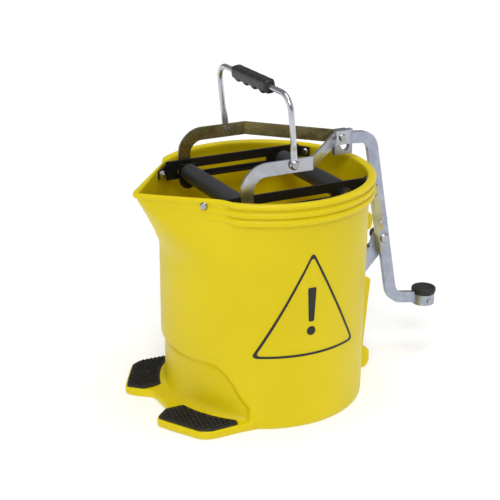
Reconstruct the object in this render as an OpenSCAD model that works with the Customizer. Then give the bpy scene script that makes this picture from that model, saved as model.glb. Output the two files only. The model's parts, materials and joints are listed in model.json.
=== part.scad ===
// Mop bucket with a foot-operated roller wringer.
// Origin: centre of the bucket's base circle, on the floor. +X to the pedal, -X to the spout, +Z up.
// The front roller is shown in its rest place, next to the spout.

/* [Bucket] */
// Height of the lip above the floor, mm
bucket_h = 315.5; // [313:0.5:318]
// Outer radius of the wall at the base, mm
base_r = 139.5; // [138:0.5:140.5]
// Outer radius of the wall under the rim, mm
top_r = 141.4; // [140.5:0.1:142.5]
// Wall thickness, mm
wall_t = 3.2; // [2.8:0.1:3.6]
// Thickness of the bucket's floor, mm
floor_t = 4; // [3:0.5:5]
// Outer radius of the lip, mm
lip_r = 149.5; // [148:0.5:151]
// Distance from the axis to the spout's tip, mm
spout_reach = 188.5; // [184:0.5:192]
// Radius of the spout's tip, mm
spout_tip_r = 14; // [12:0.5:16]
// Drop of the spout's lip at its tip, mm
spout_drop = 5; // [3:0.5:6]
// Depth the front wall is set back above the feet, mm
recess_d = 5; // [3:0.5:6]

/* [Feet] */
// Height of the foot flange, mm
flange_h = 11.5; // [10:0.5:12]
// Thickness of the rubber tread pads, mm
pad_t = 3; // [2:0.5:4]
// Height of the ribs on the pads, mm
pad_rib_h = 1.2; // [0.8:0.1:1.6]

/* [Wringer frame] */
// Distance of each side rail from the middle plane, mm
rail_y = 89; // [88.5:0.1:89.5]
// Height of the side rails, mm
rail_h = 26; // [24:0.5:28]
// Thickness of the sheet steel parts, mm
plate_t = 3; // [2.8:0.1:3.2]
// Height of the roller axles above the floor, mm
axle_z = 300; // [299:0.5:301]
// Radius of the axles, mm
axle_r = 3; // [2.8:0.1:3.2]
// Rest place of the front axle along X, mm
front_x = -74; // [-75:0.5:-73]
// Place of the rear axle along X, mm
rear_x = 72; // [71:0.5:73]
// Radius of the rollers, mm
roller_r = 12.5; // [12:0.1:13]
// Length of the rollers, mm
roller_len = 153; // [150:0.5:154]

/* [Yoke] */
// Width of the strap iron, mm
strap_w = 18; // [17:0.5:18.5]
// Height of the middle of the straps above the floor, mm
strap_z = 348; // [347.5:0.5:349]
// Distance of each strap from the middle plane, mm
strap_y = 93; // [92.8:0.1:93.2]
// Place where the straps start to run together, mm
crease_x = 19.5; // [18:0.5:21]

/* [Pedal lever] */
// Place of the lever's pivot along X, mm
pivot_x = 194.3; // [194:0.1:195]
// Height of the lever's pivot, mm
pivot_z = 188; // [187.5:0.5:188.5]
// Width of the lever bar, mm
arm_w = 16.5; // [15.5:0.5:17]
// Thickness of the lever bar, mm
arm_t = 7; // [6.5:0.1:7.2]
// Stroke of the pedal, degrees
stroke_deg = 32; // [30:1:33]
// Travel of the front roller for each degree of the lever, mm
travel_per_deg = 3; // [2.95:0.01:3.02]

/* [Bail] */
// Place of the bail's rivets along X, mm
bail_x = -8.5; // [-10:0.5:-7]
// Height of the bail's rivets, mm
bail_z = 350; // [349.5:0.5:351]
// Height of the bail above its rivets, mm
bail_rise = 91.5; // [90:0.5:96]
// Radius of the bail's rod, mm
rod_r = 3.75; // [3.5:0.05:3.9]
// Lean of the bail to the spout side, degrees
bail_lean = 6; // [4:0.5:7]
// Length of the hand grip, mm
grip_len = 96; // [90:1:100]

/* [Node] */
// Sub-component to draw

/* [Hidden] */
$fn = 64;
eps = 0.01;
inner_r = top_r - wall_t;
tip_x = -(spout_reach - spout_tip_r);
// spout wall: outward normal, direction to the tip and the point where it leaves the round wall
spout_s = (top_r - spout_tip_r) / -tip_x;
spout_c = sqrt(1 - spout_s * spout_s);
spout_px = -top_r * spout_s;
spout_py = top_r * spout_c;
spout_deg = atan2(spout_s, spout_c);
bead_half = 139;
bolt_r = 3;
bolt_z = 305.5;
front_bolt_s = 31.6;
rear_bolt_deg = 36;
rail_gap = 1;
tab_d = wall_t + rail_gap + plate_t / 2;
rear_tab_r = inner_r - 3;
pad_x = 147;
boss_y = 18;
cheek_y = 5.8;
cheek_t = 4;
pin_r = 4;
head_x = 117;
head_z = 347;
yoke_pin_r = 4;
ear_y = 5.4;
ring_x = 270.6;
ring_z = 81.5;
ring_r = 16.5;
ring_h = 15.5;
bend_r = 22;
leg_y = 98.75;
lean = 10.6;
pad_corners = [[-162, 38], [-179.5, 52.5], [-170.6, 68.6], [-147.6, 107.6], [-135.2, 114.4], [-97, 113.2],
               [-92, 62]];
top_bend_x = 149.6;
top_bend_z = 322.4;
top_bend_r = 20;
low_bend_x = 234.3;
low_bend_z = 114.5;
low_bend_r = 25;
low_slope = 8;
arm_mid = 195.1;
wall_slope = (top_r - base_r) / (bucket_h - 3.7);
steel = [0.70, 0.71, 0.74];
black = [0.06, 0.06, 0.065];
yellow = [0.86, 0.78, 0.08];

// ---------- bucket ----------

module beads() {
    rotate([0, 0, -bead_half]) rotate_extrude(angle = 2 * bead_half) union() {
        translate([inner_r - 2, bucket_h - 25]) square([lip_r - inner_r - 1, 24.3]);
        for (z = [22.2, 12.9]) translate([lip_r - 3.3, bucket_h - z]) circle(r = 3.3);
        translate([lip_r - 4, bucket_h - 7.1]) square([4, 6.5]);
    }
}

module spout_block(r, tip_r, z_low, z_high, t) {
    hull() {
        translate([0, 0, z_low]) cylinder(r = r - 1.6, h = 1);
        translate([0, 0, z_high]) cylinder(r = r - 0.7, h = t);
        translate([tip_x, 0, z_high]) cylinder(r = tip_r, h = t);
    }
}

module foot_block(s) {
    hull() for (p = [[-163, 36.5], [-181, 52.5], [-172, 69.5], [-148.5, 109], [-135.5, 116],
                     [-94, 116], [-60, 60]])
        translate([p[0], s * p[1], 0]) cylinder(r = 3.5, h = flange_h, $fn = 32);
}

module recess(r_in, z_low, z_high, half) {
    rotate([0, 0, 180 - half]) rotate_extrude(angle = 2 * half)
        translate([r_in, z_low]) square([160 - r_in, z_high - z_low]);
}

module front_bolt_place(s) {
    x = spout_px - spout_c * front_bolt_s;
    y = spout_py - spout_s * front_bolt_s;
    translate([x, s * y, bolt_z]) rotate([0, 0, s * (90 + spout_deg)]) rotate([0, 90, 0]) children();
}

module rear_bolt_place(s) {
    rotate([0, 0, s * rear_bolt_deg]) translate([rear_tab_r, 0, bolt_z]) rotate([0, 90, 0]) children();
}

module side_profile(points, y_mid, w) {
    translate([0, y_mid + w / 2, 0]) rotate([90, 0, 0]) linear_extrude(w) polygon(points);
}

module bucket_outside() {
    cylinder(r1 = base_r, r2 = top_r, h = bucket_h - 3.7);
    spout_block(top_r, spout_tip_r, 214, bucket_h - 9.5, 5.1);
    hull() {
        translate([0, 0, bucket_h - 4.5]) cylinder(r = lip_r - 3.6, h = 4.5);
        translate([tip_x, 0, bucket_h - 4.5]) cylinder(r = spout_tip_r, h = 4.5);
    }
    beads();
    for (s = [-1, 1]) foot_block(s);
    translate([-156, -40, 0]) cube([40, 80, flange_h]);
    // two ribs below the lever, two guides above it, bracket pad, heel lug
    for (s = [-1, 1]) {
        side_profile([[134, 20], [155, 30], [161, 106], [164, 136], [160, 140], [134, 140]], s * boss_y, 5);
        side_profile([[134, 211], [159, 213], [162, 219], [162, 231], [158, 238], [134, 242]], s * boss_y, 8);
    }
    translate([134, -13.5, 112]) cube([pad_x - 134, 27, 66]);
    side_profile([[126, 0], [159, 0], [166, 8], [166, 26], [160, 32], [126, 34]], 0, 44);
}

module bucket_cavity() {
    difference() {
        translate([0, 0, floor_t]) cylinder(r1 = base_r - wall_t, r2 = inner_r, h = bucket_h);
        recess(base_r - wall_t - recess_d, 0, 84, 41);
    }
    spout_block(inner_r, spout_tip_r - wall_t, 217, bucket_h - 4.5, 20);
}

module bucket() color(yellow) difference() {
    bucket_outside();
    bucket_cavity();
    recess(base_r - recess_d, 13, 80, 38);
    // slope of the spout's lip
    translate([-115, -150, bucket_h]) rotate([0, -atan2(spout_drop, spout_reach - 115), 0])
        translate([-120, 0, 0]) cube([120, 300, 20]);
    for (s = [-1, 1]) {
        front_bolt_place(s) translate([0, 0, -12]) cylinder(r = bolt_r + 0.1, h = 24);
        rear_bolt_place(s) cylinder(r = bolt_r - 0.3, h = 12);
    }
    for (z = [126, 162]) translate([120, -4, z]) rotate([0, 90, 0]) cylinder(r = bolt_r - 0.4, h = 40);
}

module foot_pad(s) {
    color(black) {
        difference() {
            hull() for (p = pad_corners)
                translate([p[0], s * p[1], flange_h]) cylinder(r = 3, h = pad_t, $fn = 32);
            translate([0, 0, -1]) cylinder(r = base_r + 2, h = 40);
        }
        // ribs across the tread
        intersection() {
            rotate([0, 0, s * -43]) for (i = [-10:10])
                translate([-200, s * (i * 5) - 1, flange_h + pad_t - 0.1]) cube([70, 2, pad_rib_h + 0.1]);
            difference() {
                linear_extrude(40) polygon([for (p = pad_corners) [p[0] + 1, s * (p[1] - 1)]]);
                translate([0, 0, -1]) cylinder(r = base_r + 6, h = 60);
            }
        }
    }
}

module foot_pad_left() foot_pad(-1);
module foot_pad_right() foot_pad(1);

// warning triangle with a plain mark, printed on the wall that faces -Y
module hazard_print() color([0.05, 0.05, 0.05]) intersection() {
    difference() {
        cylinder(r1 = base_r + 0.45, r2 = base_r + 0.45 + 260 * wall_slope, h = 260);
        translate([0, 0, -1])
            cylinder(r1 = base_r + 0.02 - wall_slope, r2 = base_r + 0.02 + 261 * wall_slope, h = 262);
    }
    translate([-3.5, -100, 0]) rotate([90, 0, 0]) linear_extrude(60) {
        difference() {
            polygon([[-75, 108], [-72, 103], [72, 103], [75, 108], [3, 244], [-3, 244]]);
            polygon([[-69, 107.5], [69, 107.5], [0, 238]]);
        }
        polygon([[-6, 195], [-4, 198], [4, 198], [6, 195], [3.6, 150], [-3.6, 150]]);
        translate([0, 138]) circle(r = 6);
    }
}

// ---------- wringer frame ----------

module side_rail(s) {
    z0 = axle_z - rail_h / 2 + 2.5;
    front_x0 = spout_px + tab_d * spout_s;
    front_y0 = spout_py - tab_d * spout_c;
    run = (front_y0 - rail_y) / spout_s;
    x0 = front_x0 - spout_c * run;
    rear_run = (rail_y - rear_tab_r * sin(rear_bolt_deg)) / cos(rear_bolt_deg);
    x1 = rear_tab_r * cos(rear_bolt_deg) - rear_run * sin(rear_bolt_deg);
    color(black) difference() {
        union() {
            translate([x0, s * rail_y - plate_t / 2, z0]) cube([x1 - x0, plate_t, rail_h]);
            // ears along the spout wall and along the round wall
            translate([x0, s * rail_y, bolt_z - 5]) rotate([0, 0, -s * (180 - spout_deg)])
                translate([0, -plate_t / 2, 0]) cube([32, plate_t, 11]);
            translate([x1, s * rail_y, bolt_z - 7]) rotate([0, 0, -s * (90 - rear_bolt_deg)])
                translate([0, -plate_t / 2, 0]) cube([18, plate_t, 14]);
            // lower flange, turned in
            translate([-58, s * (rail_y - 4.25) - 2.75, z0]) cube([156, 5.5, plate_t]);
        }
        // slot the front axle slides in
        translate([front_x - 12, s * rail_y - 5, axle_z - axle_r - 0.08]) cube([138, 10, 2 * axle_r + 0.16]);
        translate([rear_x, s * rail_y - 5, axle_z]) rotate([-90, 0, 0]) cylinder(r = axle_r + 0.05, h = 10);
        front_bolt_place(s) translate([0, 0, -14]) cylinder(r = bolt_r + 0.1, h = 24);
        rear_bolt_place(s) translate([0, 0, -10]) cylinder(r = bolt_r + 0.1, h = 20);
    }
}

module side_rail_left() side_rail(-1);
module side_rail_right() side_rail(1);

module pan_head(r, h) {
    cylinder(r1 = r, r2 = r * 0.72, h = h);
}

module rail_bolts() color(steel) for (s = [-1, 1]) {
    front_bolt_place(s) {
        translate([0, 0, -13]) cylinder(r = bolt_r, h = 13.2);
        translate([0, 0, 0.1]) pan_head(5.2, 2.6);
    }
    rear_bolt_place(s) {
        translate([0, 0, -2]) cylinder(r = bolt_r - 0.35, h = 13);
        translate([0, 0, -plate_t / 2 - 0.1]) rotate([180, 0, 0]) pan_head(5.2, 2.6);
    }
}

module rail_nuts() color(steel) for (s = [-1, 1]) front_bolt_place(s)
    translate([0, 0, -tab_d - plate_t / 2 - 5]) difference() {
        cylinder(r = 5.7, h = 4.9, $fn = 6);
        translate([0, 0, -1]) cylinder(r = bolt_r + 0.05, h = 7);
    }

module cross_rod(x, z, r, half) {
    translate([x, -half, z]) rotate([-90, 0, 0]) cylinder(r = r, h = 2 * half);
}

module cross_ring(x, y, z, r, bore, t) {
    translate([x, y, z]) rotate([-90, 0, 0]) difference() {
        cylinder(r = r, h = t, $fn = 6);
        translate([0, 0, -1]) cylinder(r = bore, h = t + 2);
    }
}

module rear_axle() color(steel) cross_rod(rear_x, axle_z, axle_r, 97.5);

module rear_axle_nuts() color(steel) for (y = [-97, 90.8])
    cross_ring(rear_x, y, axle_z, 7.5, axle_r + 0.05, 6.2);

module roller_tube(x) {
    translate([x, -roller_len / 2, axle_z]) rotate([-90, 0, 0]) difference() {
        cylinder(r = roller_r, h = roller_len);
        translate([0, 0, -1]) cylinder(r = 9, h = roller_len + 2);
    }
}

module roller_bushes(x) {
    for (s = [-1, 1]) translate([x, s * roller_len / 2, axle_z]) rotate([-90 * s, 0, 0]) difference() {
        union() {
            translate([0, 0, -14]) cylinder(r = 8.98, h = 14.02);
            translate([0, 0, 0.02]) cylinder(r = 11, h = 1.1);
        }
        translate([0, 0, -15]) cylinder(r = axle_r + 0.08, h = 20);
    }
}

module front_roller() color([0.25, 0.26, 0.28]) roller_tube(front_x);
module rear_roller() color([0.25, 0.26, 0.28]) roller_tube(rear_x);
module front_roller_bushes() color([0.8, 0.8, 0.78]) roller_bushes(front_x);
module rear_roller_bushes() color([0.8, 0.8, 0.78]) roller_bushes(rear_x);

// ---------- yoke ----------

module carrier(s) {
    color(black) translate([0, s * 79.6 + 1.4, 0]) rotate([90, 0, 0]) difference() {
        union() {
            translate([front_x - 13, axle_z - 10]) linear_extrude(2.8) square([26, 22]);
            translate([front_x, axle_z - 10, 0]) cylinder(r = 13, h = 2.8);
        }
        translate([front_x, axle_z, -1]) cylinder(r = axle_r + 0.05, h = 6);
    }
}

module carrier_left() carrier(-1);
module carrier_right() carrier(1);

module front_axle() color(steel) cross_rod(front_x, axle_z, axle_r, 101);

module front_axle_nuts() color(steel) for (y = [-101, 94.7])
    cross_ring(front_x, y, axle_z, 7.5, axle_r + 0.05, 6.3);

module strap_hole(x, y, z, r) {
    translate([x, y - 4, z]) rotate([-90, 0, 0]) cylinder(r = r, h = 8);
}

module yoke_strap(s) {
    t = plate_t;
    r_out = 36;
    bend_x = front_x - strap_w / 2 + r_out;
    bend_z = strap_z + strap_w / 2 - r_out;
    end_y = ear_y;
    run = strap_y - end_y;
    color(steel) difference() {
        union() {
            // leg down to the axle, hard-way bend and straight run
            translate([0, s * strap_y + t / 2, 0]) rotate([90, 0, 0]) {
                translate([front_x, axle_z, 0]) cylinder(r = strap_w / 2, h = t);
                translate([front_x - strap_w / 2, axle_z, 0]) cube([strap_w, bend_z - axle_z, t]);
                translate([bend_x, bend_z, 0]) rotate([0, 0, 90]) rotate_extrude(angle = 90)
                    translate([r_out - strap_w, 0]) square([strap_w, t]);
                translate([bend_x, strap_z - strap_w / 2, 0]) cube([crease_x - bend_x + 0.6, strap_w, t]);
            }
            // run to the middle plane
            translate([crease_x, s * strap_y, strap_z - strap_w / 2]) rotate([0, 0, -s * 45])
                translate([-0.6, -t / 2, 0]) cube([run * sqrt(2) + 1.2, t, strap_w]);
            // ear beside the lever
            translate([crease_x + run - 0.6, s * end_y - t / 2, head_z - 10])
                cube([head_x + 12 - crease_x - run, t, 19.5]);
        }
        strap_hole(front_x, s * strap_y, axle_z, axle_r + 0.05);
        strap_hole(bail_x, s * strap_y, bail_z, 3.02);
        strap_hole(head_x, s * end_y, head_z, yoke_pin_r + 0.03);
    }
}

module yoke_strap_left() yoke_strap(-1);
module yoke_strap_right() yoke_strap(1);

module yoke_pin() color(steel) {
    cross_rod(head_x, head_z, yoke_pin_r, 10);
    translate([head_x, -7.2, head_z]) rotate([90, 0, 0]) cylinder(r1 = 5.2, r2 = 3.8, h = 1.5);
}

module yoke_pin_clip() color(steel) translate([head_x, 7.1, head_z]) rotate([-90, 0, 0]) difference() {
    cylinder(r = 7.5, h = 1.4);
    translate([0, 0, -1]) cylinder(r = yoke_pin_r + 0.02, h = 4);
}

// ---------- pedal lever ----------

// place of the yoke pin in the lever's own frame when the lever has turned by a degrees
function slot_x(a) = (head_x - pivot_x + travel_per_deg * a) * cos(a) - (head_z - pivot_z) * sin(a);
function slot_z(a) = (head_x - pivot_x + travel_per_deg * a) * sin(a) + (head_z - pivot_z) * cos(a);

module bar(x0, z0, x1, z1) {
    translate([x0, z0]) rotate(atan2(z1 - z0, x1 - x0)) translate([0, -arm_w / 2])
        square([norm([x1 - x0, z1 - z0]), arm_w]);
}

// bend of the bar: centre of the bend, first angle and turn in the X-Z plane
module bar_bend(x, z, r, a0, turn) {
    far = 2 * r + arm_w;
    translate([x, z]) rotate(a0) intersection() {
        difference() {
            circle(r = r + arm_w / 2 - 0.06);
            circle(r = r - arm_w / 2 + 0.06);
        }
        polygon([[0, 0], [far, 0], [far, far], [far * cos(turn), far * sin(turn)]]);
    }
}

module pedal_arm() color(steel) difference() {
    translate([0, arm_t / 2, 0]) rotate([90, 0, 0]) linear_extrude(arm_t) {
        // head plate
        translate([pivot_x - 86.9, pivot_z + 134.3]) square([28, 34]);
        bar(124, 345.2, top_bend_x + top_bend_r * sin(7), top_bend_z + top_bend_r * cos(7));
        bar_bend(top_bend_x, top_bend_z, top_bend_r, lean - 2, 90 - lean - 7 + 4);
        bar(top_bend_x + top_bend_r * cos(lean), top_bend_z + top_bend_r * sin(lean),
            low_bend_x - low_bend_r * cos(lean), low_bend_z - low_bend_r * sin(lean));
        bar_bend(low_bend_x, low_bend_z, low_bend_r, 180 + lean - 2, 90 - lean - low_slope + 4);
        bar(low_bend_x - low_bend_r * sin(low_slope), low_bend_z - low_bend_r * cos(low_slope),
            ring_x - ring_r + 1.5, 85.3);
    }
    for (a = [0:2:stroke_deg]) translate([pivot_x + slot_x(a), -10, pivot_z + slot_z(a)])
        rotate([-90, 0, 0]) cylinder(r = yoke_pin_r + 0.3, h = 20);
    cross_rod(pivot_x, pivot_z, 5.62, 20);
    for (h = [28, 68]) arm_frame() cross_rod(-3.6, h, 2.05, 20);
    translate([ring_x, 0, 60]) cylinder(r = ring_r + 0.02, h = 50);
    translate([ring_x, 0, ring_z + ring_h / 2 - 0.1]) cylinder(r = 18.3, h = 30);
}

// frame along the lever's long bar: z up the bar, x across it
module arm_frame() {
    translate([arm_mid, 0, pivot_z]) rotate([0, -lean, 0]) children();
}

// channel on the front edge of the lever, next to the bucket
module arm_stiffener() color(steel) arm_frame() difference() {
    union() {
        translate([-arm_w / 2 - 2.1, -5.4, -22]) cube([2, 10.8, 106]);
        for (s = [-1, 1]) translate([-arm_w / 2 - 0.6, s * 4.47 - 0.93, 14]) cube([8.4, 1.86, 70]);
    }
    for (h = [28, 68]) cross_rod(-3.6, h, 2.05, 20);
}

module arm_rivets() color(steel) for (h = [28, 68]) arm_frame() translate([-3.6, 0, h]) rotate([-90, 0, 0]) {
    cylinder(r = 2, h = 11.4, center = true);
    for (s = [-1, 1]) translate([0, 0, s * 5.95]) cylinder(r = 2.9, h = 1, center = true);
}

module pivot_bush() color([0.75, 0.68, 0.5])
    translate([pivot_x, -arm_t / 2 - 0.4, pivot_z]) rotate([-90, 0, 0]) difference() {
    cylinder(r = 5.6, h = arm_t + 0.8);
    translate([0, 0, -1]) cylinder(r = pin_r + 0.06, h = arm_t + 3);
}

module pivot_pin() color(steel) {
    translate([pivot_x, -4.2, pivot_z]) rotate([-90, 0, 0]) cylinder(r = pin_r, h = 28);
    translate([pivot_x, -4.1, pivot_z]) rotate([90, 0, 0]) cylinder(r1 = 7, r2 = 5, h = 2.4);
}

module pivot_clip() color(steel) translate([pivot_x, 21.6, pivot_z]) rotate([-90, 0, 0]) difference() {
    cylinder(r = 8, h = 1.5);
    translate([0, 0, -1]) cylinder(r = pin_r + 0.02, h = 4);
}

module pivot_bracket() color([0.78, 0.78, 0.80]) difference() {
    union() {
        side_profile([[pad_x + 0.1, 114], [pad_x + 3.1, 114], [165, 130], [192, 158], [205, 190], [182, 192],
                      [176, 174], [168, 169], [pad_x + 0.1, 169]], cheek_y + cheek_t / 2, cheek_t);
        translate([pivot_x, cheek_y + cheek_t, pivot_z]) rotate([90, 0, 0]) cylinder(r = 12, h = cheek_t);
        translate([pad_x + 0.1, -12, 114]) cube([3, 12 + cheek_y + 1, 62]);
    }
    translate([pivot_x, 0, pivot_z]) rotate([-90, 0, 0]) cylinder(r = pin_r + 0.03, h = 20);
    for (z = [126, 162]) translate([120, -4, z]) rotate([0, 90, 0]) cylinder(r = bolt_r - 0.4, h = 40);
}

module backing_plate() color([0.78, 0.78, 0.80]) difference() {
    translate([133.3, -11, 114]) cube([2.6, 22, 60]);
    for (z = [126, 162]) translate([120, -4, z]) rotate([0, 90, 0]) cylinder(r = bolt_r - 0.4, h = 40);
}

module bracket_bolts() color(steel) for (z = [126, 162]) translate([pad_x + 3.2, -4, z]) rotate([0, 90, 0]) {
    translate([0, 0, -23]) cylinder(r = bolt_r - 0.5, h = 23.1);
    pan_head(5, 2.6);
}

module bracket_nuts() color(steel) for (z = [126, 162])
    translate([128.7, -4, z]) rotate([0, 90, 0]) difference() {
    cylinder(r = 5, h = 4.4, $fn = 6);
    translate([0, 0, -1]) cylinder(r = bolt_r - 0.45, h = 8);
}

// torsion spring round the pivot pin, beside the bracket's cheek
module spring_leg(x0, y0, z0, x1, y1, z1) {
    translate([x0, y0, z0]) rotate([0, 0, atan2(y1 - y0, x1 - x0)]) rotate([0, 90, 0])
        cylinder(r = 0.9, h = norm([x1 - x0, y1 - y0]));
    translate([x1, y1, min(z0, z1)]) cylinder(r = 1.1, h = abs(z1 - z0));
}

module return_spring() color([0.35, 0.35, 0.37]) translate([pivot_x, 0, pivot_z]) rotate([-90, 0, 0]) {
    for (i = [0:3]) translate([0, 0, 11.2 + i * 2.15]) rotate_extrude() translate([8, 0]) circle(r = 1.1);
    translate([0, 0, 11.2]) difference() {
        cylinder(r = 8.6, h = 6.4);
        translate([0, 0, -1]) cylinder(r = 7.4, h = 9);
    }
    // one leg hooks over the bracket's top edge, the other behind the lever
    spring_leg(-6.3, 4.2, 11.2, -19.5, 13.1, 4.6);
    spring_leg(1.8, -7.4, 17.5, 6.6, -27.5, 1);
}

module pedal_ring() color(steel) difference() {
    translate([ring_x, 0, ring_z - ring_h / 2]) difference() {
        cylinder(r = ring_r, h = ring_h);
        translate([0, 0, -1]) cylinder(r = ring_r - 2.6, h = ring_h + 2);
    }
    translate([ring_x, 0, ring_z - 1]) rotate([90, 0, 0]) cylinder(r = 2.05, h = 60, center = true);
}

module pedal_pad() color([0.07, 0.07, 0.07]) difference() {
    translate([ring_x, 0, ring_z]) rotate_extrude() polygon([
        [0, -6.7], [ring_r - 2.65, -6.7], [ring_r - 2.65, 7.8], [16.6, 7.8], [16.6, 10], [18, 10.8],
        [18, 15.6], [17, 16.8], [14.2, 17.1], [13.4, 16.2], [0, 16.2]]);
    translate([ring_x, 0, ring_z - 1]) rotate([90, 0, 0]) cylinder(r = 2.05, h = 60, center = true);
}

module pedal_rivet() color(steel) translate([ring_x, 0, ring_z - 1]) rotate([90, 0, 0]) {
    cylinder(r = 2, h = 2 * ring_r + 0.6, center = true);
    for (s = [-1, 1]) translate([0, 0, s * (ring_r + 0.9)]) cylinder(r = 3.6, h = 1.6, center = true);
}

// ---------- bail ----------

module bail_frame() {
    translate([bail_x, 0, bail_z]) rotate([0, -bail_lean, 0]) children();
}

module bail_rod() color(steel) bail_frame() {
    for (s = [-1, 1]) {
        difference() {
            union() {
                translate([0, s * 96.5 + 1.5, 0]) rotate([90, 0, 0]) cylinder(r = 8, h = 3);
                translate([-7, s * 96.5 - 1.5, 0]) cube([14, 3, 20]);
                translate([-5, s * 96.5 - 1.5, 19]) cube([10, 3, 10]);
            }
            translate([0, s * 96.5 - 5, 0]) rotate([-90, 0, 0]) cylinder(r = 3.06, h = 10);
        }
        translate([0, s * leg_y, 22]) cylinder(r = rod_r, h = bail_rise - 22 - bend_r + 0.01);
        translate([0, s * (leg_y - bend_r), bail_rise - bend_r]) rotate([90, 0, s * 90])
            rotate_extrude(angle = 90) translate([bend_r, 0]) circle(r = rod_r);
    }
    translate([0, bend_r - leg_y - 0.01, bail_rise]) rotate([-90, 0, 0])
        cylinder(r = rod_r, h = 2 * (leg_y - bend_r) + 0.02);
}

module bail_grip() color(black) bail_frame() difference() {
    hull() for (s = [-1, 1]) {
        translate([0, s * (grip_len / 2 - 6), bail_rise + 1.5]) sphere(r = 8, $fn = 32);
        translate([-7.5, s * (grip_len / 2 - 2) - 2, bail_rise - 11]) cube([15, 4, 12]);
    }
    translate([0, -100, bail_rise]) rotate([-90, 0, 0]) cylinder(r = rod_r + 0.02, h = 200);
    translate([-rod_r - 0.02, -100, bail_rise - 20]) cube([2 * rod_r + 0.04, 200, 20]);
    for (i = [-2:2]) translate([-20, i * 19, bail_rise - 19]) rotate([0, 90, 0]) cylinder(r = 12, h = 40);
}

module bail_rivets() color(steel) for (s = [-1, 1])
    translate([bail_x, s * 94, bail_z]) rotate([-90 * s, 0, 0]) {
    translate([0, 0, -4.4]) cylinder(r = 3, h = 8.7);
    translate([0, 0, 4.15]) cylinder(r1 = 6.2, r2 = 4.4, h = 2.2);
    translate([0, 0, -4.4]) cylinder(r = 5, h = 1.7);
}

bucket();
foot_pad_left();
foot_pad_right();
side_rail_left();
side_rail_right();
rail_bolts();
rail_nuts();
rear_axle();
rear_axle_nuts();
pivot_bracket();
backing_plate();
bracket_bolts();
bracket_nuts();
pivot_pin();
pivot_clip();
hazard_print();
return_spring();
pedal_arm();
arm_stiffener();
arm_rivets();
pivot_bush();
pedal_ring();
pedal_pad();
pedal_rivet();
yoke_strap_left();
yoke_strap_right();
yoke_pin();
yoke_pin_clip();
front_axle();
front_axle_nuts();
carrier_left();
carrier_right();
front_roller();
front_roller_bushes();
rear_roller();
rear_roller_bushes();
bail_rod();
bail_grip();
bail_rivets();
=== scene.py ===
"""Mop bucket with a roller wringer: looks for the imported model. Lengths in the shape code are millimetres."""
import json
import math

import bmesh
import bpy
from mathutils import Matrix, Vector


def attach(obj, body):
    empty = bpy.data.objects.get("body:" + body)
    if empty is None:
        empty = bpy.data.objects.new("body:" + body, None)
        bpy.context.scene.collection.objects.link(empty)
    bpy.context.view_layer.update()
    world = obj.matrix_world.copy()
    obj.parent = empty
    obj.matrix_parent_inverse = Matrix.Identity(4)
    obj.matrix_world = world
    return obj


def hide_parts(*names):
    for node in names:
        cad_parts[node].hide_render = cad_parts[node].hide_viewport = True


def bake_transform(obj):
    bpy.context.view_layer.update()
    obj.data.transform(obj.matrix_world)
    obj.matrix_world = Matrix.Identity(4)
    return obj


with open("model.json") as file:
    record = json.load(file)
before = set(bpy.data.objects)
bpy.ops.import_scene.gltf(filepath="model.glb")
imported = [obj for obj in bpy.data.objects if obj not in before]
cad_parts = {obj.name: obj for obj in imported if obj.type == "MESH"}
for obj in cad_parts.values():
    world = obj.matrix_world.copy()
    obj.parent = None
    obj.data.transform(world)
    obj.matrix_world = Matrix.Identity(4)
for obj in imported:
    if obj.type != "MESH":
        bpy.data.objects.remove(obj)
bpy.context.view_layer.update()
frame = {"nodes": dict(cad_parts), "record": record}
nodes = frame["nodes"]
MM = 0.001


# ---------------------------------------------------------------- camera

def add_camera():
    """The photo's view: a long lens, left of the spout and a little above the lip."""
    place = Vector((-0.8300, -1.5315, 0.8593))
    right = Vector((0.88392, -0.46763, 0.0))
    up = Vector((0.165336, 0.312521, 0.935412))
    roll = math.radians(-0.543)
    side = right * math.cos(roll) - up * math.sin(roll)
    head = right * math.sin(roll) + up * math.cos(roll)
    back = side.cross(head)
    data = bpy.data.cameras.new("camera")
    data.sensor_width = 36
    data.lens = 98.39
    data.clip_end = 100
    camera = bpy.data.objects.new("camera", data)
    bpy.context.scene.collection.objects.link(camera)
    camera.matrix_world = Matrix((
        (side.x, head.x, back.x, place.x),
        (side.y, head.y, back.y, place.y),
        (side.z, head.z, back.z, place.z),
        (0, 0, 0, 1)))
    bpy.context.scene.camera = camera


# ---------------------------------------------------------------- helpers

def clamp(x, low=0.0, high=1.0):
    """x kept between low and high."""
    return max(low, min(high, x))


def smooth(low, high, x):
    """Soft step from 0 at low to 1 at high."""
    t = clamp((x - low) / (high - low))
    return t * t * (3 - 2 * t)


def steps(low, high, count):
    """Evenly spaced values, both ends included."""
    return [low + (high - low) * i / (count - 1) for i in range(count)]


def along(points, x):
    """Value at x on a line through (x, value) points, flat beyond its ends."""
    if x <= points[0][0]:
        return points[0][1]
    for (x0, v0), (x1, v1) in zip(points, points[1:]):
        if x <= x1:
            return v0 + (v1 - v0) * (x - x0) / (x1 - x0)
    return points[-1][1]


def mesh_piece(name, verts, faces, soft=True):
    mesh = bpy.data.meshes.new(name)
    mesh.from_pydata([tuple(c * MM for c in v) for v in verts], [], faces)
    mesh.validate()
    if soft:
        mesh.polygons.foreach_set("use_smooth", [True] * len(mesh.polygons))
    obj = bpy.data.objects.new(name, mesh)
    bpy.context.scene.collection.objects.link(obj)
    return obj


def loft(name, rings, cap=True):
    """Closed skin through rings of equal length, with flat or pointed ends."""
    n = len(rings[0])
    verts = [p for ring in rings for p in ring]
    faces = []
    for i in range(len(rings) - 1):
        for j in range(n):
            k = (j + 1) % n
            faces.append((i * n + j, i * n + k, (i + 1) * n + k, (i + 1) * n + j))
    if cap:
        faces.append(tuple(range(n))[::-1])
        faces.append(tuple((len(rings) - 1) * n + j for j in range(n)))
    obj = mesh_piece(name, verts, faces)
    fix_normals(obj)
    return obj


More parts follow.
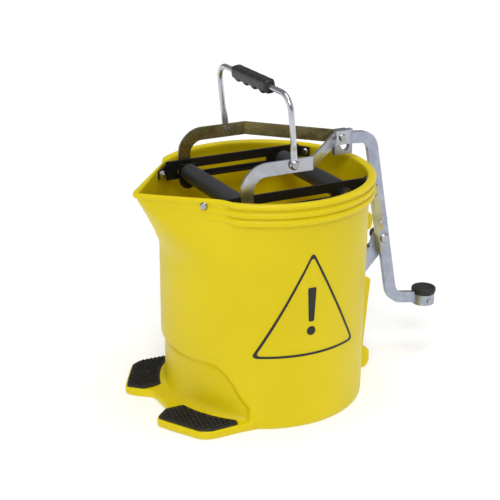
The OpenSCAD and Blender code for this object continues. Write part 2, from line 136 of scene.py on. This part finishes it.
def fix_normals(obj):
    """Merges doubled points and turns every face outwards."""
    bm = bmesh.new()
    bm.from_mesh(obj.data)
    bmesh.ops.remove_doubles(bm, verts=bm.verts, dist=1e-6)
    bmesh.ops.recalc_face_normals(bm, faces=bm.faces)
    bm.to_mesh(obj.data)
    bm.free()


def revolve(name, profile, centre, count=96):
    """Solid of revolution about Z from (radius, z) points that start and end on the axis."""
    rings = []
    for r, z in profile:
        r = max(r, 0.01)
        rings.append([(centre[0] + r * math.cos(2 * math.pi * i / count),
                       centre[1] + r * math.sin(2 * math.pi * i / count), centre[2] + z) for i in range(count)])
    return loft(name, rings)


def bevelled(obj, width, segments):
    """Rounds every edge that turns by more than 30 degrees, by a width in mm."""
    mod = obj.modifiers.new("bevel", "BEVEL")
    mod.width = width * MM
    mod.segments = segments
    mod.limit_method = "ANGLE"
    mod.angle_limit = math.radians(30)
    return obj


def prism(name, outline, axis, low, high):
    """Straight solid from a closed outline of (a, b) points. axis is "z" for (x, y) or "y" for (x, z)."""
    n = len(outline)
    if axis == "z":
        verts = [(a, b, low) for a, b in outline] + [(a, b, high) for a, b in outline]
    else:
        verts = [(a, low, b) for a, b in outline] + [(a, high, b) for a, b in outline]
    faces = [tuple(range(n)), tuple(range(n, 2 * n))[::-1]]
    faces += [(i, (i + 1) % n, n + (i + 1) % n, n + i) for i in range(n)]
    obj = mesh_piece(name, verts, faces, soft=False)
    fix_normals(obj)
    return obj


def join(name, objs):
    """One object from several, with their modifiers applied."""
    graph = bpy.context.evaluated_depsgraph_get()
    bm = bmesh.new()
    for o in objs:
        part = bpy.data.meshes.new_from_object(o.evaluated_get(graph))
        bm.from_mesh(part)
        bpy.data.meshes.remove(part)
        bpy.data.objects.remove(o)
    mesh = bpy.data.meshes.new(name)
    bm.to_mesh(mesh)
    bm.free()
    obj = bpy.data.objects.new(name, mesh)
    bpy.context.scene.collection.objects.link(obj)
    return obj


def rounded(points, radius, count=6):
    """Closed outline with its corners rounded."""
    out = []
    n = len(points)
    for i in range(n):
        p = Vector(points[i])
        a = (Vector(points[i - 1]) - p)
        b = (Vector(points[(i + 1) % n]) - p)
        reach = min(radius, a.length * 0.45, b.length * 0.45)
        start = p + a.normalized() * reach
        end = p + b.normalized() * reach
        for j in range(count + 1):
            t = j / count
            out.append(tuple(start * (1 - t) ** 2 + p * (2 * t * (1 - t)) + end * t ** 2))
    return out


# ---------------------------------------------------------------- materials

def colour(r, g, b):
    """Linear colour from 0-255 display values."""
    def lin(c):
        c /= 255
        return c / 12.92 if c <= 0.04045 else ((c + 0.055) / 1.055) ** 2.4
    return (lin(r), lin(g), lin(b), 1.0)


class Mat:
    """Node material with a few building blocks."""

    def __init__(self, name, metallic=0.0, ior=1.5):
        self.mat = bpy.data.materials.new(name)
        self.mat.use_nodes = True
        self.tree = self.mat.node_tree
        self.shader = self.tree.nodes["Principled BSDF"]
        self.shader.inputs["Metallic"].default_value = metallic
        self.shader.inputs["IOR"].default_value = ior
        self.coord = self.tree.nodes.new("ShaderNodeTexCoord").outputs["Object"]

    def link(self, a, b):
        self.tree.links.new(a, b)

    def stretched(self, scale):
        node = self.tree.nodes.new("ShaderNodeMapping")
        node.inputs["Scale"].default_value = scale
        self.link(self.coord, node.inputs["Vector"])
        return node.outputs["Vector"]

    def noise(self, scale, detail=3.0, rough=0.5, distortion=0.0, vector=None):
        node = self.tree.nodes.new("ShaderNodeTexNoise")
        node.inputs["Scale"].default_value = scale
        node.inputs["Detail"].default_value = detail
        node.inputs["Roughness"].default_value = rough
        node.inputs["Distortion"].default_value = distortion
        self.link(vector or self.coord, node.inputs["Vector"])
        return node.outputs["Fac"]

    def cells(self, scale, output="Color"):
        node = self.tree.nodes.new("ShaderNodeTexVoronoi")
        node.inputs["Scale"].default_value = scale
        self.link(self.coord, node.inputs["Vector"])
        return node.outputs[output]

    def ramp(self, source, stops):
        node = self.tree.nodes.new("ShaderNodeValToRGB")
        ramp = node.color_ramp
        while len(ramp.elements) < len(stops):
            ramp.elements.new(0.5)
        for element, (place, value) in zip(ramp.elements, stops):
            element.position = place
            element.color = value if len(value) == 4 else (*value, 1)
        self.link(source, node.inputs["Fac"])
        return node.outputs["Color"]

    def levels(self, source, low, high, start=0.3, end=0.7):
        node = self.tree.nodes.new("ShaderNodeMapRange")
        node.inputs["From Min"].default_value = start
        node.inputs["From Max"].default_value = end
        node.inputs["To Min"].default_value = low
        node.inputs["To Max"].default_value = high
        self.link(source, node.inputs["Value"])
        return node.outputs["Result"]

    def mix(self, factor, a, b, blend="MIX"):
        node = self.tree.nodes.new("ShaderNodeMix")
        node.data_type = "RGBA"
        node.blend_type = blend
        for socket, value in ((node.inputs[0], factor), (node.inputs[6], a), (node.inputs[7], b)):
            if isinstance(value, bpy.types.NodeSocket):
                self.link(value, socket)
            else:
                socket.default_value = value
        return node.outputs[2]

    def bump(self, layers):
        """Stacked bumps from (height source, distance in mm, strength)."""
        normal = None
        for source, distance, strength in layers:
            node = self.tree.nodes.new("ShaderNodeBump")
            node.inputs["Distance"].default_value = distance * MM
            node.inputs["Strength"].default_value = strength
            self.link(source, node.inputs["Height"])
            if normal:
                self.link(normal, node.inputs["Normal"])
            normal = node.outputs["Normal"]
        self.link(normal, self.shader.inputs["Normal"])

    def base(self, source):
        self.link(source, self.shader.inputs["Base Color"])

    def roughness(self, source):
        self.link(source, self.shader.inputs["Roughness"])


def yellow_plastic():
    m = Mat("moulded_yellow", ior=1.48)
    broad = m.noise(7, 2, 0.4)
    tint = m.ramp(broad, [(0.3, colour(214, 193, 3)), (0.7, colour(221, 201, 7))])
    fine = m.noise(260, 3, 0.6)
    tint = m.mix(m.levels(fine, 0.0, 0.10), tint, colour(204, 181, 3))
    scuffs = m.noise(38, 5, 0.72, 0.6, m.stretched((1, 1, 4)))
    tint = m.mix(m.levels(scuffs, 0.0, 0.16, 0.62, 0.80), tint, colour(236, 220, 70))
    m.base(tint)
    m.roughness(m.levels(m.noise(24, 4, 0.6), 0.34, 0.46))
    m.shader.inputs["Specular IOR Level"].default_value = 0.26
    m.shader.inputs["Subsurface Weight"].default_value = 0.35
    m.shader.inputs["Subsurface Radius"].default_value = (1.0, 0.8, 0.08)
    m.shader.inputs["Subsurface Scale"].default_value = 0.004
    m.bump([(m.noise(900, 2, 0.5), 0.05, 0.3), (m.noise(30, 2, 0.4), 0.3, 0.12)])
    return m.mat


def black_paint():
    m = Mat("black_powder_coat")
    m.base(m.ramp(m.noise(60, 4, 0.6), [(0.3, colour(9, 9, 10)), (0.7, colour(18, 18, 19))]))
    m.roughness(m.levels(m.noise(140, 3, 0.6), 0.34, 0.5))
    m.bump([(m.cells(900, output="Distance"), 0.05, 0.5)])
    return m.mat


def zinc_plate(name, low, high, rough, spangle):
    m = Mat(name, metallic=0.95)
    grains = m.tree.nodes.new("ShaderNodeSeparateColor")
    m.link(m.cells(spangle), grains.inputs["Color"])
    patch = grains.outputs["Red"]
    low, high = colour(*low), colour(*high)
    cloud = m.noise(34, 5, 0.65, 0.4)
    tint = m.mix(0.55, m.ramp(patch, [(0.0, low), (1.0, high)]), m.ramp(cloud, [(0.3, low), (0.7, high)]))
    m.base(tint)
    m.roughness(m.levels(m.noise(85, 4, 0.6), *rough))
    m.bump([(m.noise(420, 4, 0.6), 0.05, 0.4), (m.noise(50, 3, 0.5), 0.2, 0.15)])
    return m.mat


def bright_steel(name, low, high, rough=(0.22, 0.38), streak=(1, 1, 1)):
    m = Mat(name, metallic=1.0)
    vector = m.stretched(streak)
    m.base(m.ramp(m.noise(180, 4, 0.6, vector=vector), [(0.3, colour(*low)), (0.7, colour(*high))]))
    m.roughness(m.levels(m.noise(260, 3, 0.6, vector=vector), *rough))
    m.bump([(m.noise(700, 3, 0.6, vector=vector), 0.03, 0.4)])
    return m.mat


def plastic(name, low, high, rough=(0.4, 0.55), grain=700, depth=0.05):
    m = Mat(name)
    m.base(m.ramp(m.noise(45, 4, 0.6), [(0.3, colour(*low)), (0.7, colour(*high))]))
    m.roughness(m.levels(m.noise(110, 3, 0.6), *rough))
    m.bump([(m.noise(grain, 3, 0.6), depth, 0.5)])
    return m.mat


def rubber():
    m = Mat("tread_rubber")
    m.base(m.ramp(m.noise(70, 5, 0.65), [(0.3, colour(14, 14, 14)), (0.72, colour(32, 31, 30))]))
    m.roughness(m.levels(m.noise(90, 3, 0.6), 0.5, 0.72))
    m.bump([(m.noise(1100, 3, 0.6), 0.08, 0.5)])
    return m.mat


def roller_rubber():
    m = Mat("roller_rubber")
    around = m.stretched((1, 0.12, 1))
    m.base(m.ramp(m.noise(120, 4, 0.6, vector=around), [(0.3, colour(34, 36, 40)), (0.7, colour(47, 50, 55))]))
    m.roughness(m.levels(m.noise(60, 4, 0.6), 0.36, 0.52))
    m.bump([(m.noise(500, 3, 0.6), 0.06, 0.4)])
    return m.mat


def floor_finish():
    m = Mat("pale_floor")
    m.base(m.ramp(m.noise(3, 3, 0.5), [(0.3, (0.75, 0.75, 0.75)), (0.7, (0.77, 0.77, 0.77))]))
    m.roughness(m.levels(m.noise(20, 3, 0.5), 0.75, 0.85))
    m.shader.inputs["Emission Color"].default_value = (1, 1, 1, 1)
    m.shader.inputs["Emission Strength"].default_value = 0.29
    return m.mat


def paint(obj, material):
    """Gives a piece one material."""
    obj.data.materials.clear()
    obj.data.materials.append(material)


# ---------------------------------------------------------------- bucket

LIP_R = 149.5       # round collar of the lip
FLANK_R = 141.9     # round part that the spout's straight flanks run off
TIP = 188.5         # spout tip from the axis, and its own radius
TIP_R = 14.0
LIP_Z = 315.5
LIP_ROLL = 3.9      # radius and height of the rolled edge
LIP_ROLL_Z = 311.6
BASE_R = 139.5      # wall at the floor, its thickness, and its widening per mm of height
WALL = 3.2
SLOPE = 1.9 / (LIP_Z - 3.7)
BEAD_R = 3.5        # how far the beads stand out, half their height, and where they are
BEAD_HALF = 4.5
BEADS = (300.9, 290.6)
COLLAR = 4.7        # thicker wall behind the beads
SPOUT_FOOT = 220    # height at which the spout starts to leave the round wall
RECESS = 5.0        # depth of the front recess, and its side edge as (height, degrees from the spout)
RECESS_EDGE = [(24, 57), (31, 54.5), (42, 50.5), (65, 45), (76, 41), (84, 37)]
FLANGE = 11.5       # thickness of the foot flange, and half its outline as (x, y)
FOOT = [(-155, 0), (-155.5, 26), (-165.5, 33.5), (-184.5, 49.5), (-185, 54), (-176, 71), (-151.5, 111.5),
        (-146.5, 115.5), (-136, 119.5), (-95, 119.5), (-72, 121)]


def hull_radius(angle, r, tip, tip_r):
    """Distance from the axis to the hull of a round wall and a round spout tip, at an angle from the spout."""
    reach = tip - tip_r
    if reach <= r - tip_r + 1e-6:
        return r
    turn = math.acos((r - tip_r) / reach)
    angle = abs(angle)
    if angle >= turn:
        return r
    if angle >= math.atan2(tip_r * math.sin(turn), reach + tip_r * math.cos(turn)):
        return r / math.cos(turn - angle)
    return reach * math.cos(angle) + math.sqrt(max(tip_r ** 2 - (reach * math.sin(angle)) ** 2, 0))


def lip_radius(angle):
    """Outer edge of the lip: straight flanks to the spout's tip, then a wider round collar."""
    r = FLANK_R + (LIP_R - FLANK_R) * smooth(39, 51, math.degrees(abs(angle)))
    return hull_radius(angle, r, TIP, TIP_R)


def body_radius(z):
    """Plain round wall at a height."""
    return BASE_R + SLOPE * z


def recess_depth(angle, z):
    edge = along(RECESS_EDGE, z)
    side = 1 - smooth(edge - 1.6, edge + 1.4, math.degrees(abs(angle)))
    return RECESS * side * (1 - smooth(77, 91, z))


def spout_rise(z):
    """How much of the spout's reach the wall has at a height, from 0 to about 1."""
    return clamp((z - SPOUT_FOOT) / 90, 0, 1.05) ** 1.15


def outer_radius(angle, z):
    """Outer wall with its spout, three beads and front recess."""
    deg = math.degrees(abs(angle))
    wall = body_radius(z) - recess_depth(angle, z)
    g = spout_rise(z)
    if g > 0:
        flank = hull_radius(angle, 141.2 - 0.6 * g, 141.4 + 44.6 * g, 141.4 * (1 - g) + 12 * g)
        wall = max(wall, flank)
    belt = smooth(31.6, 32.9, deg) * smooth(278, 284, z)
    if belt > 0:
        brim = lip_radius(angle) - 0.2
        collar = min(body_radius(z) + COLLAR * smooth(282.5, 287.0, z), max(brim - BEAD_R, wall))
        for centre in BEADS:
            crown = 1 - ((z - centre) / BEAD_HALF) ** 2
            if crown > 0:
                collar = max(collar, brim - BEAD_R + BEAD_R * math.sqrt(crown))
        wall = max(wall, wall + (collar - wall) * belt)
    rise = LIP_ROLL ** 2 - (z - LIP_ROLL_Z) ** 2
    if rise > 0:
        wall = max(wall, lip_radius(angle) - LIP_ROLL + math.sqrt(rise))
    return wall


def inner_radius(angle, z):
    """Inner wall, which follows the spout and the recess."""
    r = body_radius(z) - WALL - recess_depth(angle, z)
    g = spout_rise(z)
    return hull_radius(angle, r, r + 41 * g, r * (1 - g) + 9 * g)


def lip_drop(angle, z):
    """How far the lip dips towards the spout's tip."""
    reach = lip_radius(angle) * math.cos(angle)
    return 5.0 * clamp((reach - 115) / (TIP - 115)) * smooth(225, 312, z)


def foot_reach(angle):
    """Distance from the axis to the foot flange's edge, or 0 where there is none."""
    direction = (-math.cos(angle), math.sin(abs(angle)))
    for (x0, y0), (x1, y1) in zip(FOOT, FOOT[1:]):
        ex, ey = x1 - x0, y1 - y0
        det = ex * direction[1] - ey * direction[0]
        if abs(det) < 1e-9:
            continue
        along_edge = (y0 * direction[0] - x0 * direction[1]) / det
        if -1e-6 <= along_edge <= 1 + 1e-6:
            reach = (x0 + ex * along_edge) * direction[0] + (y0 + ey * along_edge) * direction[1]
            if reach > 0:
                return reach
    return 0.0


def soft_foot_reach(angle):
    """foot_reach averaged over a few degrees, so that the outline's corners are round."""
    total = 0.0
    for i in range(-4, 5):
        total += max(foot_reach(angle + math.radians(i * 0.45)), body_radius(5))
    return total / 9


def bucket_profile(angle):
    """(radius, z) points from the middle of the underside, over the lip, to the middle of the floor."""
    wall0 = outer_radius(angle, 30)
    edge = soft_foot_reach(angle)
    extra = max(edge - wall0, 0)
    foot = smooth(1, 12, extra)
    pts = [(0, 3.0), (60, 3.0), (118, 3.0), (124, 2.4), (127, 0.4), (130, 0.0)]
    pts += [(edge - 5.0, 0.0), (edge - 2.8, 0.4), (edge - 1.2, 1.5), (edge - 0.3, 3.6), (edge, FLANGE - 2.4)]
    pts += [(edge - 0.6 * foot, FLANGE - 0.9), (edge - 2.0 * foot, FLANGE - 0.1)]
    rest = edge - 2.2 * foot
    for t in steps(0.08, 1, 14):
        pts.append((wall0 + (rest - wall0) * (1 - t) ** 2.4, FLANGE + 0.02 + 19 * (foot * t ** 3.2 + (1 - foot) * t)))
    for z in steps(31, 76, 16) + steps(78, 93, 9) + steps(98, 216, 18) + steps(221, 279, 14):
        pts.append((outer_radius(angle, z), z))
    for z in steps(280.5, 314.2, 66):
        pts.append((outer_radius(angle, z), z))
    brim = lip_radius(angle)
    inner = inner_radius(angle, 313)
    pts += [(brim - 1.6, 314.9), (brim - 2.8, 315.4), (brim - 4.0, LIP_Z)]
    crown = min(3.6, brim - inner - 4.6)
    pts += [(inner + crown, LIP_Z - 0.1), (inner + crown * 0.5, LIP_Z - 0.7), (inner + crown * 0.15, LIP_Z - 1.9)]
    for z in steps(312, 224, 22) + steps(216, 96, 12) + steps(92, 77, 7) + steps(70, 14, 8):
        pts.append((inner_radius(angle, z), z))
    floor_r = inner_radius(angle, 14)
    pts += [(floor_r - 0.8, 9.5), (floor_r - 3, 6), (floor_r - 7, 4.3), (floor_r - 12, 4.0), (60, 4.0), (0, 4.0)]
    return [(r, z - lip_drop(angle, z)) for r, z in pts]


def bucket_angles():
    """Angles from the spout, closer together at its tip and flanks."""
    half = steps(0, 8, 17)[:-1] + steps(8, 64, 86)[:-1] + steps(64, 180, 88)
    return [math.radians(a) for a in half] + [-math.radians(a) for a in half[1:-1]][::-1]


def make_bucket():
    """One closed skin: a profile at each angle, joined to the next."""
    angles = bucket_angles()
    columns = [bucket_profile(a) for a in angles]
    n = len(angles)
    verts, faces = [], []
    for row in range(len(columns[0])):
        for a, column in zip(angles, columns):
            r, z = column[row]
            verts.append((-r * math.cos(a), r * math.sin(a), z))
    for i in range(len(columns[0]) - 1):
        for j in range(n):
            k = (j + 1) % n
            faces.append((i * n + j, i * n + k, (i + 1) * n + k, (i + 1) * n + j))
    shell = mesh_piece("bucket_shell", verts, faces)
    fix_normals(shell)
    return shell


def make_bucket_lugs():
    """Ribs, guides, bracket pad and heel behind the bucket."""
    parts = []
    for s in (-1, 1):
        rib = rounded([(136, 20), (155, 30), (161, 106), (164, 136), (160, 140), (136, 140)], 5)
        parts.append(bevelled(prism("rib", rib, "y", s * 18 - 2.5, s * 18 + 2.5), 1.0, 3))
        guide = rounded([(136, 211), (159, 213), (162, 219), (162, 231), (158, 238), (136, 242)], 4)
        parts.append(bevelled(prism("guide", guide, "y", s * 18 - 4, s * 18 + 4), 1.2, 3))
    heel = rounded([(130, 0.2), (159, 0.2), (166, 8), (166, 26), (160, 32), (130, 34)], 5)
    parts.append(bevelled(prism("heel", heel, "y", -22, 22), 2.0, 3))
    pad = [(136, -13.5), (147, -13.5), (147, 13.5), (136, 13.5)]
    parts.append(bevelled(prism("pad", pad, "z", 112, 178), 1.2, 3))
    return join("bucket_lugs", parts)


# ---------------------------------------------------------------- printed triangle

PRINT_X = -3.5


def on_wall(x, z, lift):
    """Point on the bucket's wall towards -Y, lifted off it."""
    r = body_radius(z) + lift
    return (x, -math.sqrt(r ** 2 - x ** 2), z)


def ink_patch(name, outer, inner):
    """Thin layer of ink on the wall: the band between two (x, z) outlines with the same number of points."""
    n = len(outer)
    verts = []
    for lift in (0.05, 0.4):
        for loop in (outer, inner):
            verts += [on_wall(x, z, lift) for x, z in loop]
    faces = []
    for i in range(n):
        k = (i + 1) % n
        for a, b in ((0, n), (n, 3 * n), (3 * n, 2 * n), (2 * n, 0)):
            faces.append((a + i, a + k, b + k, b + i))
    patch = mesh_piece(name, verts, faces, soft=False)
    fix_normals(patch)
    return patch


def make_print():
    """Outlined triangle with rounded corners, and a plain mark inside it."""
    corners = [Vector((PRINT_X - 76, 103.5)), Vector((PRINT_X + 76, 103.5)), Vector((PRINT_X, 247.5))]
    centre = Vector((PRINT_X, 149.3))
    loops = []
    for scale, soft in ((1.0, 9.0), (0.93, 7.0)):
        loop = rounded([centre + (c - centre) * scale for c in corners], soft)
        dense = []
        for i, point in enumerate(loop):
            pieces = 1 if (i + 1) % 7 else 30
            after = loop[(i + 1) % len(loop)]
            dense += [tuple(Vector(point).lerp(Vector(after), j / pieces)) for j in range(pieces)]
        loops.append(dense)
    parts = [ink_patch("band", *loops)]
    bar = rounded([(PRINT_X - 6.1, 198), (PRINT_X + 6.1, 198), (PRINT_X + 3.9, 151), (PRINT_X - 3.9, 151)], 2.5)
    turns = [2 * math.pi * i / 32 for i in range(32)]
    dot = [(PRINT_X + 6.2 * math.cos(a), 138 + 6.2 * math.sin(a)) for a in turns]
    for name, outline in (("bar", bar), ("dot", dot)):
        middle = sum((Vector(p) for p in outline), Vector((0, 0))) / len(outline)
        parts.append(ink_patch(name, outline, [tuple(Vector(p).lerp(middle, 0.97)) for p in outline]))
    return join("printed_triangle", parts)


# ---------------------------------------------------------------- tread pads

PAD = [(-141, 35.6), (-164.5, 35.6), (-182.8, 52.2), (-173.6, 69.7), (-149.6, 110), (-136, 117.2), (-96, 116),
       (-95, 109)]
PAD_TOP = FLANGE + 3.0
STUD_RUN, STUD_ROW = 8.0, 4.8
STUD = ((-2.9, 0), (0, -2.0), (2.9, 0), (0, 2.0))


def inside(outline, x, y):
    """True when a point is inside a closed outline."""
    hit = False
    for (x0, y0), (x1, y1) in zip(outline, outline[1:] + outline[:1]):
        if (y0 > y) != (y1 > y) and x < (x1 - x0) * (y - y0) / (y1 - y0) + x0:
            hit = not hit
    return hit


def pad_outline(side, margin):
    """Outline of a tread pad, pulled in by a margin."""
    arc = [math.radians(a) for a in steps(48.5, 14.8, 12)]
    back = [(-(142.6 + margin) * math.cos(a), (142.6 + margin) * math.sin(a)) for a in arc]
    front = PAD
    if margin:
        middle = Vector((-148, 82))
        front = [tuple(Vector(p) + (middle - Vector(p)).normalized() * margin) for p in PAD]
    return [(x, side * y) for x, y in front + back]


def make_pad(side):
    """Rubber slab with rows of diamond studs."""
    slab = prism("slab", rounded(pad_outline(side, 0), 3.0, 3), "z", FLANGE, PAD_TOP)
    parts = [bevelled(slab, 0.9, 3)]
    safe = pad_outline(side, 2.4)
    run = Vector((0.66, side * 0.75))
    across = Vector((-run.y, run.x))
    middle = Vector((-140, side * 82))
    for i in range(-16, 17):
        for j in range(-12, 13):
            p = middle + run * (i + (j % 2) / 2) * STUD_RUN + across * (j * STUD_ROW)
            corners = [p + run * a + across * b for a, b in STUD]
            if all(inside(safe, c.x, c.y) for c in corners):
                low = [(c.x, c.y, PAD_TOP - 0.3) for c in corners]
                high = [((c.x - p.x) * 0.72 + p.x, (c.y - p.y) * 0.66 + p.y, PAD_TOP + 2.2) for c in corners]
                faces = [(0, 1, 5, 4), (1, 2, 6, 5), (2, 3, 7, 6), (3, 0, 4, 7), (4, 5, 6, 7), (3, 2, 1, 0)]
                stud = mesh_piece("stud", low + high, faces, soft=False)
                fix_normals(stud)
                parts.append(stud)
    return join("tread_pad_left" if side < 0 else "tread_pad_right", parts)


# ---------------------------------------------------------------- bail grip and pedal

BAIL_RISE = 91.5


def bail_turn():
    """Place and lean of the bail's own frame."""
    lean = math.radians(6)
    return Matrix.Translation((-8.5, 0, 350)) @ Matrix.Rotation(-lean, 4, "Y")


def make_grip():
    """Moulded grip with finger scallops below, lofted along Y in the bail's own frame."""
    turn = bail_turn()
    length = 96
    rings = []
    for y in steps(-length / 2, length / 2, 97):
        end = clamp((length / 2 - abs(y)) / 5.0)
        shrink = 1 - 0.22 * (1 - end) ** 2
        finger = 0.5 - 0.5 * math.cos(2 * math.pi * (y / 22.5 + 0.5))
        scallop = 4.2 * finger * smooth(0, 6, length / 2 - abs(y))
        half = 8.4 * shrink
        top = BAIL_RISE + 9.5 * shrink
        bottom = BAIL_RISE - 10.8 + scallop + 2.5 * (1 - end)
        ring = []
        for i in range(40):
            a = 2 * math.pi * i / 40
            c, s = math.cos(a), math.sin(a)
            x = half * math.copysign(abs(c) ** 0.55, c)
            z = (top + bottom) / 2 + (top - bottom) / 2 * math.copysign(abs(s) ** 0.62, s)
            ring.append(tuple(turn @ Vector((x, y, z))))
        rings.append(ring)
    return loft("hand_grip", rings)


def make_bail_rod():
    """Bent rod whose ends are pressed flat into eyes, lofted in the bail's own frame."""
    rod, bend, leg_y = 3.75, 22, 98.75
    straight = BAIL_RISE - bend
    leg = []
    for z in steps(-6.6, 8, 20) + steps(10, 40, 16) + steps(46, straight, 5):
        flat = 1 - smooth(14, 34, z)
        eye = math.sqrt(max(6.8 ** 2 - z ** 2, 0)) if z < 6.8 else 0
        half = max(eye, (rod + 0.9 * flat) * (1 if z > 0 else 0), 0.4)
        leg.append((half, rod - (rod - 1.5) * flat, leg_y - 2.25 * flat, z, 180, 1 - 0.55 * flat))
    for phi in steps(174, 90, 15):
        a = math.radians(phi)
        leg.append((rod, rod, leg_y - bend - bend * math.cos(a), straight + bend * math.sin(a), phi, 1))
    turn = bail_turn()
    rings = []
    for s, part in ((-1, leg), (1, leg[::-1])):
        for half, thick, y, z, phi, power in part:
            a = math.radians(phi if s < 0 else 180 - phi)
            ring = []
            for i in range(28):
                c, d = math.cos(2 * math.pi * i / 28), math.sin(2 * math.pi * i / 28)
                x = half * math.copysign(abs(c) ** power, c)
                out = thick * math.copysign(abs(d) ** power, d)
                ring.append(tuple(turn @ Vector((x, s * y + out * math.cos(a), z + out * math.sin(a)))))
            rings.append(ring)
    return loft("bail_wire", rings)


def make_pedal_pad():
    """Rubber cap with a rolled brim that overhangs the pedal's ring."""
    profile = [(0, -6.5), (12.6, -6.5), (13.4, -5.8), (13.7, 7.9), (16.4, 7.9), (16.9, 8.3), (17.2, 9.8), (17.8, 10.6),
               (18.0, 11.8), (18.0, 14.6), (17.7, 15.7), (16.9, 16.6), (15.6, 17.1), (14.2, 17.1), (13.4, 16.6),
               (12.6, 16.25), (9, 16.35), (4, 16.5), (0, 16.55)]
    return revolve("pedal_cap", profile, (270.6, 0, 81.5))


def make_spring():
    """Wire of the torsion spring: bracket leg, coil round the pivot pin, lever leg."""
    x, z = 194.3, 188.0
    path = [(-19.5, -13.1, 4.6), (-19.5, -13.1, 8.5), (-18.6, -12.5, 10.7), (-17.0, -11.4, 11.3)]
    start = math.radians(214)
    for i in range(0, 24 * 4 + 15):
        a = start + 2 * math.pi * i / 24
        grow = smooth(0, 3, i)
        path.append((8 * math.cos(a) * grow + (1 - grow) * -8, 8 * math.sin(a) * grow + (1 - grow) * -5.4,
                     11.3 + 2.15 * i / 24 * 0.86))
    path += [(6.4, 12, 18.2), (6.6, 20, 18.2), (6.6, 26.0, 17.9), (6.6, 27.5, 16.6), (6.6, 27.5, 8), (6.6, 27.5, 1)]
    curve = bpy.data.curves.new("spring_wire", "CURVE")
    curve.dimensions = "3D"
    curve.bevel_depth = 1.05 * MM
    curve.bevel_resolution = 5
    curve.use_fill_caps = True
    spline = curve.splines.new("POLY")
    spline.points.add(len(path) - 1)
    for point, (px, pz, py) in zip(spline.points, path):
        point.co = ((x + px) * MM, py * MM, (z + pz) * MM, 1)
    temp = bpy.data.objects.new("wire", curve)
    bpy.context.scene.collection.objects.link(temp)
    spring = join("torsion_spring", [temp])
    spring.data.polygons.foreach_set("use_smooth", [True] * len(spring.data.polygons))
    return spring


# ---------------------------------------------------------------- scene

MIDDLE = Vector((0, 0, 0.2))


def add_light(name, place, size, power):
    """Soft panel at a place, facing the middle of the bucket."""
    data = bpy.data.lights.new(name, "AREA")
    data.shape = "RECTANGLE"
    data.size, data.size_y = size
    data.energy = power
    obj = bpy.data.objects.new(name, data)
    bpy.context.scene.collection.objects.link(obj)
    obj.location = place
    obj.rotation_euler = (MIDDLE - Vector(place)).to_track_quat("-Z", "Y").to_euler()


def add_sun(name, place, strength, spread):
    """Distant soft light shining from a place towards the middle of the bucket."""
    data = bpy.data.lights.new(name, "SUN")
    data.energy = strength
    data.angle = math.radians(spread)
    obj = bpy.data.objects.new(name, data)
    bpy.context.scene.collection.objects.link(obj)
    obj.rotation_euler = (MIDDLE - Vector(place)).to_track_quat("-Z", "Y").to_euler()


def add_studio():
    """Pale floor, white surroundings, two distant lights and two side panels."""
    far = 30000
    floor = mesh_piece("floor", [(-far, -far, 0), (far, -far, 0), (far, far, 0), (-far, far, 0)],
                       [(0, 1, 2, 3)], soft=False)
    paint(floor, floor_finish())
    world = bpy.data.worlds.new("studio")
    bpy.context.scene.world = world
    world.use_nodes = True
    sky = world.node_tree.nodes["Background"]
    sky.inputs["Color"].default_value = (1, 1, 1, 1)
    sky.inputs["Strength"].default_value = 0.30
    add_sun("key", (-1.0, -1.9, 2.1), 1.35, 24)
    add_sun("top", (0.1, -0.25, 2.6), 1.25, 40)
    add_light("left", (-2.3, 0.2, 1.0), (0.9, 2.0), 6)
    add_light("right", (2.0, -0.9, 1.2), (0.9, 2.0), 5)
    bpy.context.scene.view_settings.view_transform = "Standard"


add_camera()
add_studio()

yellow = yellow_plastic()
black = black_paint()
zinc = zinc_plate("zinc_plate", (150, 156, 170), (176, 182, 197), (0.30, 0.46), 150)
strap_zinc = zinc_plate("strap_zinc", (158, 160, 166), (186, 188, 196), (0.16, 0.28), 60)
# copy of the strap zinc tinted yellow-olive: a painted reflection of the yellow bucket, not a different plating
zinc_painted_yellow_reflection = zinc_plate("zinc_painted_yellow_reflection", (158, 150, 104), (184, 177, 138), (0.2, 0.32), 60)
fastener = bright_steel("fastener_steel", (150, 150, 152), (188, 188, 190))
spring_wire = bright_steel("spring_wire", (70, 70, 72), (105, 105, 108), (0.3, 0.45))
rod_steel = bright_steel("bail_steel", (172, 176, 182), (204, 208, 214), (0.18, 0.32), (1, 1, 0.2))
tread = rubber()
roller = roller_rubber()
grip_black = plastic("grip_black", (14, 14, 15), (26, 26, 27), (0.36, 0.5))
bush = plastic("bush_plastic", (176, 172, 160), (196, 192, 180), (0.42, 0.55))
print_ink = plastic("print_ink", (8, 8, 7), (18, 17, 14), (0.45, 0.6), 900, 0.02)

by_slot = {"bucket_yellow": yellow, "rubber_black": tread, "black_steel": black, "zinc_steel": zinc,
           "fastener_steel": fastener, "spring_steel": spring_wire, "roller_grey": roller, "bush_plastic": bush,
           "grip_black": grip_black, "print_black": print_ink}
for part in frame["record"]["subparts"]:
    paint(nodes[part["node"]], by_slot[part["material_slot"]])
paint(nodes["yoke_strap_left"], strap_zinc)
# the far strap and the stiffener get the zinc with the painted yellow reflection; the near strap keeps the plain zinc
for name in ("yoke_strap_right", "arm_stiffener"):
    paint(nodes[name], zinc_painted_yellow_reflection)

shell = make_bucket()
paint(shell, yellow)
lugs = make_bucket_lugs()
paint(lugs, yellow)
lugs.parent = shell
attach(shell, "bucket_frame")
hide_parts("bucket")

ink = make_print()
paint(ink, print_ink)
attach(ink, "bucket_frame")
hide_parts("hazard_print")

for side, node in ((-1, "foot_pad_left"), (1, "foot_pad_right")):
    pad = make_pad(side)
    paint(pad, tread)
    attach(pad, "bucket_frame")
    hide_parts(node)

rod = make_bail_rod()
paint(rod, rod_steel)
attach(rod, "bail")
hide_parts("bail_rod")

grip = make_grip()
paint(grip, grip_black)
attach(grip, "bail")
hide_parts("bail_grip")

cap = make_pedal_pad()
paint(cap, tread)
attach(cap, "lever")
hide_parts("pedal_pad")

spring = make_spring()
paint(spring, spring_wire)
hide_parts("return_spring")
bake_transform(spring)
